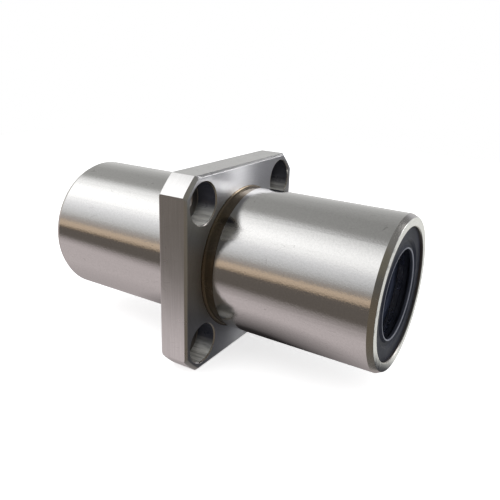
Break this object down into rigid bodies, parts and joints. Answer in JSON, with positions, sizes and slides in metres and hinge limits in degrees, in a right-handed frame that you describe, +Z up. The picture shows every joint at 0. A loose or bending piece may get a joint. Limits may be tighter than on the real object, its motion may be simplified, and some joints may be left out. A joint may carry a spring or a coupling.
{
  "type": "flanged linear bearing",
  "caption": "Long linear ball bearing with a square flange at the middle of its round steel sleeve, sealed at both ends, for a 16 mm shaft.",
  "frame": {"origin": "on the bore axis, midway through the flange's thickness", "axes": "+X along the bore towards the end on the counterbored side of the flange, +Z up, with the bearing standing on the flange's lower edge"},
  "size_m": [0.07, 0.037, 0.037],
  "materials": {
    "ground_steel": "hardened steel, turned and ground bright, brown and unground in the undercuts beside the flange",
    "seal_rubber": "black moulded nitrile rubber, satin",
    "spring_steel": "plain spring steel",
    "cage_resin": "black moulded acetal resin",
    "bearing_balls": "polished bearing steel"
  },
  "bodies": {
    "sleeve": {"outer_sleeve": "ground_steel", "front_seal": "seal_rubber", "front_retaining_ring": "spring_steel", "front_ball_cage": "cage_resin", "rear_seal": "seal_rubber", "rear_retaining_ring": "spring_steel", "rear_ball_cage": "cage_resin"},
    "front_circuit_1_load_row": {"front_circuit_1_load_row": "bearing_balls"},
    "front_circuit_1_return_row": {"front_circuit_1_return_row": "bearing_balls"},
    "front_circuit_1_outer_turn": {"front_circuit_1_outer_turn": "bearing_balls"},
    "front_circuit_1_inner_turn": {"front_circuit_1_inner_turn": "bearing_balls"},
    "front_circuit_2_load_row": {"front_circuit_2_load_row": "bearing_balls"},
    "front_circuit_2_return_row": {"front_circuit_2_return_row": "bearing_balls"},
    "front_circuit_2_outer_turn": {"front_circuit_2_outer_turn": "bearing_balls"},
    "front_circuit_2_inner_turn": {"front_circuit_2_inner_turn": "bearing_balls"},
    "front_circuit_3_load_row": {"front_circuit_3_load_row": "bearing_balls"},
    "front_circuit_3_return_row": {"front_circuit_3_return_row": "bearing_balls"},
    "front_circuit_3_outer_turn": {"front_circuit_3_outer_turn": "bearing_balls"},
    "front_circuit_3_inner_turn": {"front_circuit_3_inner_turn": "bearing_balls"},
    "front_circuit_4_load_row": {"front_circuit_4_load_row": "bearing_balls"},
    "front_circuit_4_return_row": {"front_circuit_4_return_row": "bearing_balls"},
    "front_circuit_4_outer_turn": {"front_circuit_4_outer_turn": "bearing_balls"},
    "front_circuit_4_inner_turn": {"front_circuit_4_inner_turn": "bearing_balls"},
    "rear_circuit_1_load_row": {"rear_circuit_1_load_row": "bearing_balls"},
    "rear_circuit_1_return_row": {"rear_circuit_1_return_row": "bearing_balls"},
    "rear_circuit_1_outer_turn": {"rear_circuit_1_outer_turn": "bearing_balls"},
    "rear_circuit_1_inner_turn": {"rear_circuit_1_inner_turn": "bearing_balls"},
    "rear_circuit_2_load_row": {"rear_circuit_2_load_row": "bearing_balls"},
    "rear_circuit_2_return_row": {"rear_circuit_2_return_row": "bearing_balls"},
    "rear_circuit_2_outer_turn": {"rear_circuit_2_outer_turn": "bearing_balls"},
    "rear_circuit_2_inner_turn": {"rear_circuit_2_inner_turn": "bearing_balls"},
    "rear_circuit_3_load_row": {"rear_circuit_3_load_row": "bearing_balls"},
    "rear_circuit_3_return_row": {"rear_circuit_3_return_row": "bearing_balls"},
    "rear_circuit_3_outer_turn": {"rear_circuit_3_outer_turn": "bearing_balls"},
    "rear_circuit_3_inner_turn": {"rear_circuit_3_inner_turn": "bearing_balls"},
    "rear_circuit_4_load_row": {"rear_circuit_4_load_row": "bearing_balls"},
    "rear_circuit_4_return_row": {"rear_circuit_4_return_row": "bearing_balls"},
    "rear_circuit_4_outer_turn": {"rear_circuit_4_outer_turn": "bearing_balls"},
    "rear_circuit_4_inner_turn": {"rear_circuit_4_inner_turn": "bearing_balls"}
  },
  "joints": [
    {"name": "front_circuit_1_load_row_slide", "type": "slide", "parent": "sleeve", "child": "front_circuit_1_load_row", "axis": [1, 0, 0], "range_m": [-0.00121, 0.00121]},
    {"name": "front_circuit_1_return_row_slide", "type": "slide", "parent": "sleeve", "child": "front_circuit_1_return_row", "axis": [1, 0, 0], "range_m": [-0.00121, 0.00121]},
    {"name": "front_circuit_1_outer_turn_swing", "type": "hinge", "parent": "sleeve", "child": "front_circuit_1_outer_turn", "pos_m": [0.02649, 0.00536, 0.00779], "axis": [0, -0.7456, -0.6664], "range_deg": [-45, 45]},
    {"name": "front_circuit_1_inner_turn_swing", "type": "hinge", "parent": "sleeve", "child": "front_circuit_1_inner_turn", "pos_m": [0.00461, 0.00536, 0.00779], "axis": [0, -0.7456, -0.6664], "range_deg": [-45, 45]},
    {"name": "front_circuit_2_load_row_slide", "type": "slide", "parent": "sleeve", "child": "front_circuit_2_load_row", "axis": [1, 0, 0], "range_m": [-0.00121, 0.00121]},
    {"name": "front_circuit_2_return_row_slide", "type": "slide", "parent": "sleeve", "child": "front_circuit_2_return_row", "axis": [1, 0, 0], "range_m": [-0.00121, 0.00121]},
    {"name": "front_circuit_2_outer_turn_swing", "type": "hinge", "parent": "sleeve", "child": "front_circuit_2_outer_turn", "pos_m": [0.02649, -0.00779, 0.00536], "axis": [0, 0.6664, -0.7456], "range_deg": [-45, 45]},
    {"name": "front_circuit_2_inner_turn_swing", "type": "hinge", "parent": "sleeve", "child": "front_circuit_2_inner_turn", "pos_m": [0.00461, -0.00779, 0.00536], "axis": [0, 0.6664, -0.7456], "range_deg": [-45, 45]},
    {"name": "front_circuit_3_load_row_slide", "type": "slide", "parent": "sleeve", "child": "front_circuit_3_load_row", "axis": [1, 0, 0], "range_m": [-0.00121, 0.00121]},
    {"name": "front_circuit_3_return_row_slide", "type": "slide", "parent": "sleeve", "child": "front_circuit_3_return_row", "axis": [1, 0, 0], "range_m": [-0.00121, 0.00121]},
    {"name": "front_circuit_3_outer_turn_swing", "type": "hinge", "parent": "sleeve", "child": "front_circuit_3_outer_turn", "pos_m": [0.02649, -0.00536, -0.00779], "axis": [0, 0.7456, 0.6664], "range_deg": [-45, 45]},
    {"name": "front_circuit_3_inner_turn_swing", "type": "hinge", "parent": "sleeve", "child": "front_circuit_3_inner_turn", "pos_m": [0.00461, -0.00536, -0.00779], "axis": [0, 0.7456, 0.6664], "range_deg": [-45, 45]},
    {"name": "front_circuit_4_load_row_slide", "type": "slide", "parent": "sleeve", "child": "front_circuit_4_load_row", "axis": [1, 0, 0], "range_m": [-0.00121, 0.00121]},
    {"name": "front_circuit_4_return_row_slide", "type": "slide", "parent": "sleeve", "child": "front_circuit_4_return_row", "axis": [1, 0, 0], "range_m": [-0.00121, 0.00121]},
    {"name": "front_circuit_4_outer_turn_swing", "type": "hinge", "parent": "sleeve", "child": "front_circuit_4_outer_turn", "pos_m": [0.02649, 0.00779, -0.00536], "axis": [0, -0.6664, 0.7456], "range_deg": [-45, 45]},
    {"name": "front_circuit_4_inner_turn_swing", "type": "hinge", "parent": "sleeve", "child": "front_circuit_4_inner_turn", "pos_m": [0.00461, 0.00779, -0.00536], "axis": [0, -0.6664, 0.7456], "range_deg": [-45, 45]},
    {"name": "rear_circuit_1_load_row_slide", "type": "slide", "parent": "sleeve", "child": "rear_circuit_1_load_row", "axis": [1, 0, 0], "range_m": [-0.00121, 0.00121]},
    {"name": "rear_circuit_1_return_row_slide", "type": "slide", "parent": "sleeve", "child": "rear_circuit_1_return_row", "axis": [1, 0, 0], "range_m": [-0.00121, 0.00121]},
    {"name": "rear_circuit_1_outer_turn_swing", "type": "hinge", "parent": "sleeve", "child": "rear_circuit_1_outer_turn", "pos_m": [-0.02649, -0.00172, 0.0093], "axis": [0, -0.056, -0.9984], "range_deg": [-45, 45]},
    {"name": "rear_circuit_1_inner_turn_swing", "type": "hinge", "parent": "sleeve", "child": "rear_circuit_1_inner_turn", "pos_m": [-0.00461, -0.00172, 0.0093], "axis": [0, -0.056, -0.9984], "range_deg": [-45, 45]},
    {"name": "rear_circuit_2_load_row_slide", "type": "slide", "parent": "sleeve", "child": "rear_circuit_2_load_row", "axis": [1, 0, 0], "range_m": [-0.00121, 0.00121]},
    {"name": "rear_circuit_2_return_row_slide", "type": "slide", "parent": "sleeve", "child": "rear_circuit_2_return_row", "axis": [1, 0, 0], "range_m": [-0.00121, 0.00121]},
    {"name": "rear_circuit_2_outer_turn_swing", "type": "hinge", "parent": "sleeve", "child": "rear_circuit_2_outer_turn", "pos_m": [-0.02649, -0.0093, -0.00172], "axis": [0, 0.9984, -0.056], "range_deg": [-45, 45]},
    {"name": "rear_circuit_2_inner_turn_swing", "type": "hinge", "parent": "sleeve", "child": "rear_circuit_2_inner_turn", "pos_m": [-0.00461, -0.0093, -0.00172], "axis": [0, 0.9984, -0.056], "range_deg": [-45, 45]},
    {"name": "rear_circuit_3_load_row_slide", "type": "slide", "parent": "sleeve", "child": "rear_circuit_3_load_row", "axis": [1, 0, 0], "range_m": [-0.00121, 0.00121]},
    {"name": "rear_circuit_3_return_row_slide", "type": "slide", "parent": "sleeve", "child": "rear_circuit_3_return_row", "axis": [1, 0, 0], "range_m": [-0.00121, 0.00121]},
    {"name": "rear_circuit_3_outer_turn_swing", "type": "hinge", "parent": "sleeve", "child": "rear_circuit_3_outer_turn", "pos_m": [-0.02649, 0.00172, -0.0093], "axis": [0, 0.056, 0.9984], "range_deg": [-45, 45]},
    {"name": "rear_circuit_3_inner_turn_swing", "type": "hinge", "parent": "sleeve", "child": "rear_circuit_3_inner_turn", "pos_m": [-0.00461, 0.00172, -0.0093], "axis": [0, 0.056, 0.9984], "range_deg": [-45, 45]},
    {"name": "rear_circuit_4_load_row_slide", "type": "slide", "parent": "sleeve", "child": "rear_circuit_4_load_row", "axis": [1, 0, 0], "range_m": [-0.00121, 0.00121]},
    {"name": "rear_circuit_4_return_row_slide", "type": "slide", "parent": "sleeve", "child": "rear_circuit_4_return_row", "axis": [1, 0, 0], "range_m": [-0.00121, 0.00121]},
    {"name": "rear_circuit_4_outer_turn_swing", "type": "hinge", "parent": "sleeve", "child": "rear_circuit_4_outer_turn", "pos_m": [-0.02649, 0.0093, 0.00172], "axis": [0, -0.9984, 0.056], "range_deg": [-45, 45]},
    {"name": "rear_circuit_4_inner_turn_swing", "type": "hinge", "parent": "sleeve", "child": "rear_circuit_4_inner_turn", "pos_m": [-0.00461, 0.0093, 0.00172], "axis": [0, -0.9984, 0.056], "range_deg": [-45, 45]}
  ],
  "couplings": [
    {"joint": "front_circuit_1_return_row_slide", "follows": "front_circuit_1_load_row_slide", "ratio": -1},
    {"joint": "front_circuit_1_outer_turn_swing", "follows": "front_circuit_1_load_row_slide", "rad_per_m": 646.15},
    {"joint": "front_circuit_1_inner_turn_swing", "follows": "front_circuit_1_load_row_slide", "rad_per_m": 646.15},
    {"joint": "front_circuit_2_return_row_slide", "follows": "front_circuit_2_load_row_slide", "ratio": -1},
    {"joint": "front_circuit_2_outer_turn_swing", "follows": "front_circuit_2_load_row_slide", "rad_per_m": 646.15},
    {"joint": "front_circuit_2_inner_turn_swing", "follows": "front_circuit_2_load_row_slide", "rad_per_m": 646.15},
    {"joint": "front_circuit_3_return_row_slide", "follows": "front_circuit_3_load_row_slide", "ratio": -1},
    {"joint": "front_circuit_3_outer_turn_swing", "follows": "front_circuit_3_load_row_slide", "rad_per_m": 646.15},
    {"joint": "front_circuit_3_inner_turn_swing", "follows": "front_circuit_3_load_row_slide", "rad_per_m": 646.15},
    {"joint": "front_circuit_4_return_row_slide", "follows": "front_circuit_4_load_row_slide", "ratio": -1},
    {"joint": "front_circuit_4_outer_turn_swing", "follows": "front_circuit_4_load_row_slide", "rad_per_m": 646.15},
    {"joint": "front_circuit_4_inner_turn_swing", "follows": "front_circuit_4_load_row_slide", "rad_per_m": 646.15},
    {"joint": "rear_circuit_1_return_row_slide", "follows": "rear_circuit_1_load_row_slide", "ratio": -1},
    {"joint": "rear_circuit_1_outer_turn_swing", "follows": "rear_circuit_1_load_row_slide", "rad_per_m": 646.15},
    {"joint": "rear_circuit_1_inner_turn_swing", "follows": "rear_circuit_1_load_row_slide", "rad_per_m": 646.15},
    {"joint": "rear_circuit_2_return_row_slide", "follows": "rear_circuit_2_load_row_slide", "ratio": -1},
    {"joint": "rear_circuit_2_outer_turn_swing", "follows": "rear_circuit_2_load_row_slide", "rad_per_m": 646.15},
    {"joint": "rear_circuit_2_inner_turn_swing", "follows": "rear_circuit_2_load_row_slide", "rad_per_m": 646.15},
    {"joint": "rear_circuit_3_return_row_slide", "follows": "rear_circuit_3_load_row_slide", "ratio": -1},
    {"joint": "rear_circuit_3_outer_turn_swing", "follows": "rear_circuit_3_load_row_slide", "rad_per_m": 646.15},
    {"joint": "rear_circuit_3_inner_turn_swing", "follows": "rear_circuit_3_load_row_slide", "rad_per_m": 646.15},
    {"joint": "rear_circuit_4_return_row_slide", "follows": "rear_circuit_4_load_row_slide", "ratio": -1},
    {"joint": "rear_circuit_4_outer_turn_swing", "follows": "rear_circuit_4_load_row_slide", "rad_per_m": 646.15},
    {"joint": "rear_circuit_4_inner_turn_swing", "follows": "rear_circuit_4_load_row_slide", "rad_per_m": 646.15}
  ]
}
